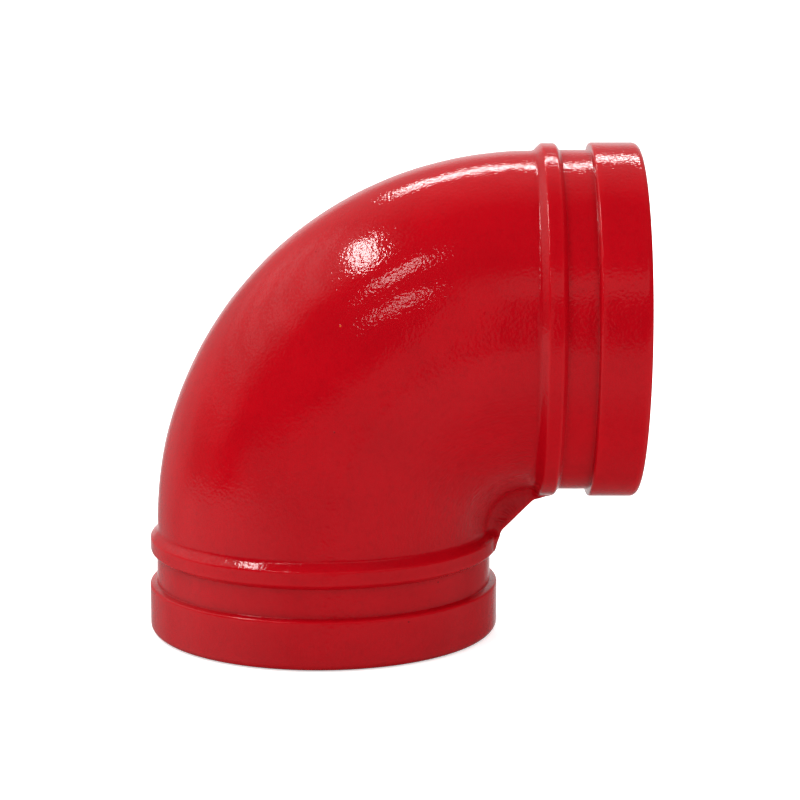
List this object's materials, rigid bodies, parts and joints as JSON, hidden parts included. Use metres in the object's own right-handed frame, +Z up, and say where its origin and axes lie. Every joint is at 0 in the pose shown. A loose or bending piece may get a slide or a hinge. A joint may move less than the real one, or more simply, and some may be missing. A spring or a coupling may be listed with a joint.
{
  "type": "grooved pipe elbow",
  "caption": "Cast pipe elbow that turns a line through a right angle, with a grooved end on each leg for a clamp-on coupling and a web across the throat.",
  "frame": {"origin": "centre of the lower end's face, on the axis of the lower leg", "axes": "+Z up the lower leg's axis, +X along the side leg's axis and out of its end, +Y square to the plane of the bend"},
  "size_m": [0.1587, 0.1142, 0.1587],
  "materials": {
    "red_coating": "gloss"
  },
  "bodies": {
    "root": {"elbow_casting": "red_coating"}
  },
  "joints": []
}
